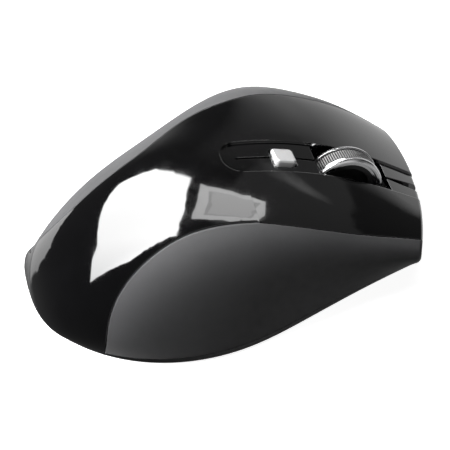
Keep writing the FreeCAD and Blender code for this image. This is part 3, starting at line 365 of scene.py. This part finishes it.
def floor():
    """White paper under the mouse, glowing enough to lift its shadow. No light bounces off it."""
    lengths_each_way = 60
    mesh = bpy.data.meshes.new("floor")
    reach = lengths_each_way * length
    corners = [(x * reach, y * reach, cad_low.z) for x, y in ((-1, -1), (1, -1), (1, 1), (-1, 1))]
    mesh.from_pydata(corners, [], [(0, 1, 2, 3)])
    plane = bpy.data.objects.new("floor", mesh)
    bpy.context.scene.collection.objects.link(plane)
    paper = Finish("floor_paper", IOR=1.3)
    paper.colours(paper.noise(0.4, 3), (0.3, grey(0.62)), (0.7, grey(0.64)))
    paper.roughness(paper.noise(0.01, 2), 0.75, 0.85)
    paper.shader.inputs["Emission Color"].default_value = (1, 1, 1, 1)
    paper.shader.inputs["Emission Strength"].default_value = 0.93
    mesh.materials.append(paper.material)
    plane.visible_glossy = False
    plane.visible_diffuse = False


# How bright the room is to the eye, to light that bounces and to reflections.
ROOM_SEEN = 1.0
ROOM_BOUNCED = 0.07
ROOM_REFLECTED = 0.05

# Soft lights around the room that only reflections see: direction, reach in degrees, brightness.
SOFT_LIGHTS = (
    ((-.75, .66, -.3), 58, 0.72),
    ((-.72, .46, .52), 16, 0.2),
    ((.7, .55, -.45), 50, 0.6),
    ((.9, .15, .45), 33, 0.6),
    ((-.9, .05, -.1), 30, 0.1),
)


def surroundings():
    """A white room to the eye, a dim one to light that bounces, and a dark one with a few
    soft lights to reflections."""
    world = bpy.data.worlds.new("studio")
    world.use_nodes = True
    bpy.context.scene.world = world
    tree = world.node_tree
    tree.nodes.clear()
    looking = tree.nodes.new("ShaderNodeTexCoord").outputs["Generated"]
    total = None
    for direction, reach, brightness in SOFT_LIGHTS:
        toward = tree.nodes.new("ShaderNodeVectorMath")
        toward.operation = "DOT_PRODUCT"
        toward.inputs[1].default_value = Vector(direction).normalized()
        tree.links.new(looking, toward.inputs[0])
        soft = tree.nodes.new("ShaderNodeMapRange")
        soft.interpolation_type = "SMOOTHSTEP"
        soft.inputs["From Min"].default_value = math.cos(math.radians(reach))
        soft.inputs["From Max"].default_value = 1.0
        soft.inputs["To Max"].default_value = brightness
        tree.links.new(toward.outputs["Value"], soft.inputs["Value"])
        added = tree.nodes.new("ShaderNodeMath")
        added.inputs[1].default_value = ROOM_REFLECTED
        tree.links.new(soft.outputs["Result"], added.inputs[0])
        if total:
            tree.links.new(total, added.inputs[1])
        total = added.outputs["Value"]
    path = tree.nodes.new("ShaderNodeLightPath")
    level = total
    for ray, seen in (("Is Diffuse Ray", ROOM_BOUNCED), ("Is Camera Ray", ROOM_SEEN)):
        change = tree.nodes.new("ShaderNodeMix")
        tree.links.new(level, change.inputs["A"])
        change.inputs["B"].default_value = seen
        tree.links.new(path.outputs[ray], change.inputs["Factor"])
        level = change.outputs["Result"]
    background = tree.nodes.new("ShaderNodeBackground")
    output = tree.nodes.new("ShaderNodeOutputWorld")
    tree.links.new(level, background.inputs["Strength"])
    tree.links.new(background.outputs["Background"], output.inputs["Surface"])


CAMERA_AZIMUTH = math.radians(74)
CAMERA_ELEVATION = math.radians(38)
CAMERA_DISTANCE = 0.56
CAMERA_LENS_MM = 159.6
CAMERA_SENSOR_MM = 36
AIM_FROM_CENTRE = Vector((0.00025, -0.0015, -0.00366))


def camera():
    """Long lens, from the user's right, a little behind, well above the desk."""
    back = Vector((
        math.sin(CAMERA_AZIMUTH) * math.cos(CAMERA_ELEVATION),
        -math.cos(CAMERA_AZIMUTH) * math.cos(CAMERA_ELEVATION),
        math.sin(CAMERA_ELEVATION),
    ))
    data = bpy.data.cameras.new("camera")
    data.lens = CAMERA_LENS_MM
    data.sensor_width = CAMERA_SENSOR_MM
    view = bpy.data.objects.new("camera", data)
    bpy.context.scene.collection.objects.link(view)
    view.location = centre + AIM_FROM_CENTRE + back * CAMERA_DISTANCE
    view.rotation_mode = "QUATERNION"
    view.rotation_quaternion = back.to_track_quat("Z", "Y")
    bpy.context.scene.camera = view


floor()
surroundings()
mirrored_panel("overhead_softbox", [
    (-.76, .04, .64), (-.61, .23, .76), (-.42, .17, .89), (.0, .06, 1), (.19, -.44, .88),
    (.02, -.91, .42), (-.38, -.64, .67), (-.75, -.32, .57), (-.82, -.2, .53),
], low=7, high=11, fade=0.03)
mirrored_panel("window", [
    (-.56, .26, .79), (-.47, .39, .79), (-.38, .51, .77), (-.10, .5, .86), (-.12, .37, .92),
    (-.23, .18, .96),
], low=3.6, high=3.6)
mirrored_panel("window_bar", [
    (-.50, .30, .81), (-.36, .49, .79), (-.14, .46, .88), (-.26, .25, .93),
], low=2.2, high=2.2, distance=5.9)
mirrored_panel("window_pane", [
    (-.485, .315, .81), (-.37, .475, .79), (-.155, .45, .88), (-.27, .265, .925),
], low=2.9, high=2.9, distance=5.8)
mirrored_panel("dark_card", [
    (-.58, .75, .30), (-.60, .80, .0), (-.3, .95, -.05), (.1, .95, .25), (.15, .8, .58),
    (-.2, .72, .66), (-.45, .71, .54), (-.55, .70, .45),
], low=0.045, high=0.045, fade=0.2, distance=9.0)
mirrored_panel("grey_card", [
    (-.575, .62, .54), (-.535, .72, .44), (-.47, .745, .48), (-.3, .755, .58), (-.1, .765, .63),
    (.12, .77, .62), (.3, .5, .8), (.1, .3, .95), (-.35, .22, .91), (-.56, .42, .71),
], low=0.13, high=0.13, fade=0.08, distance=8.0)
mirrored_panel("hair_light", [
    (-.56, .45, .69), (-.51, .55, .66), (-.47, .63, .61), (-.41, .70, .58), (-.36, .71, .60),
    (-.40, .65, .64), (-.45, .59, .67), (-.51, .50, .70),
], low=0.55, high=0.55, fade=0.95, distance=5.8)
mirrored_panel("rear_left_strip", [
    (-.92, -.38, .1), (-.84, -.54, .06), (-.74, -.67, -.02), (-.72, -.66, -.2), (-.73, -.5, -.46),
    (-.76, -.2, -.62), (-.85, -.05, -.5), (-.98, -.2, -.05),
], low=0.3, high=1.5, fade=0.06)
area_light("key", (-.05, -.86, .5), distance=1.0, size=0.6, energy=36)
area_light("top", (0, .2, 1), distance=1.0, size=0.6, energy=0.8)
camera()

bpy.context.scene.view_settings.view_transform = "Standard"
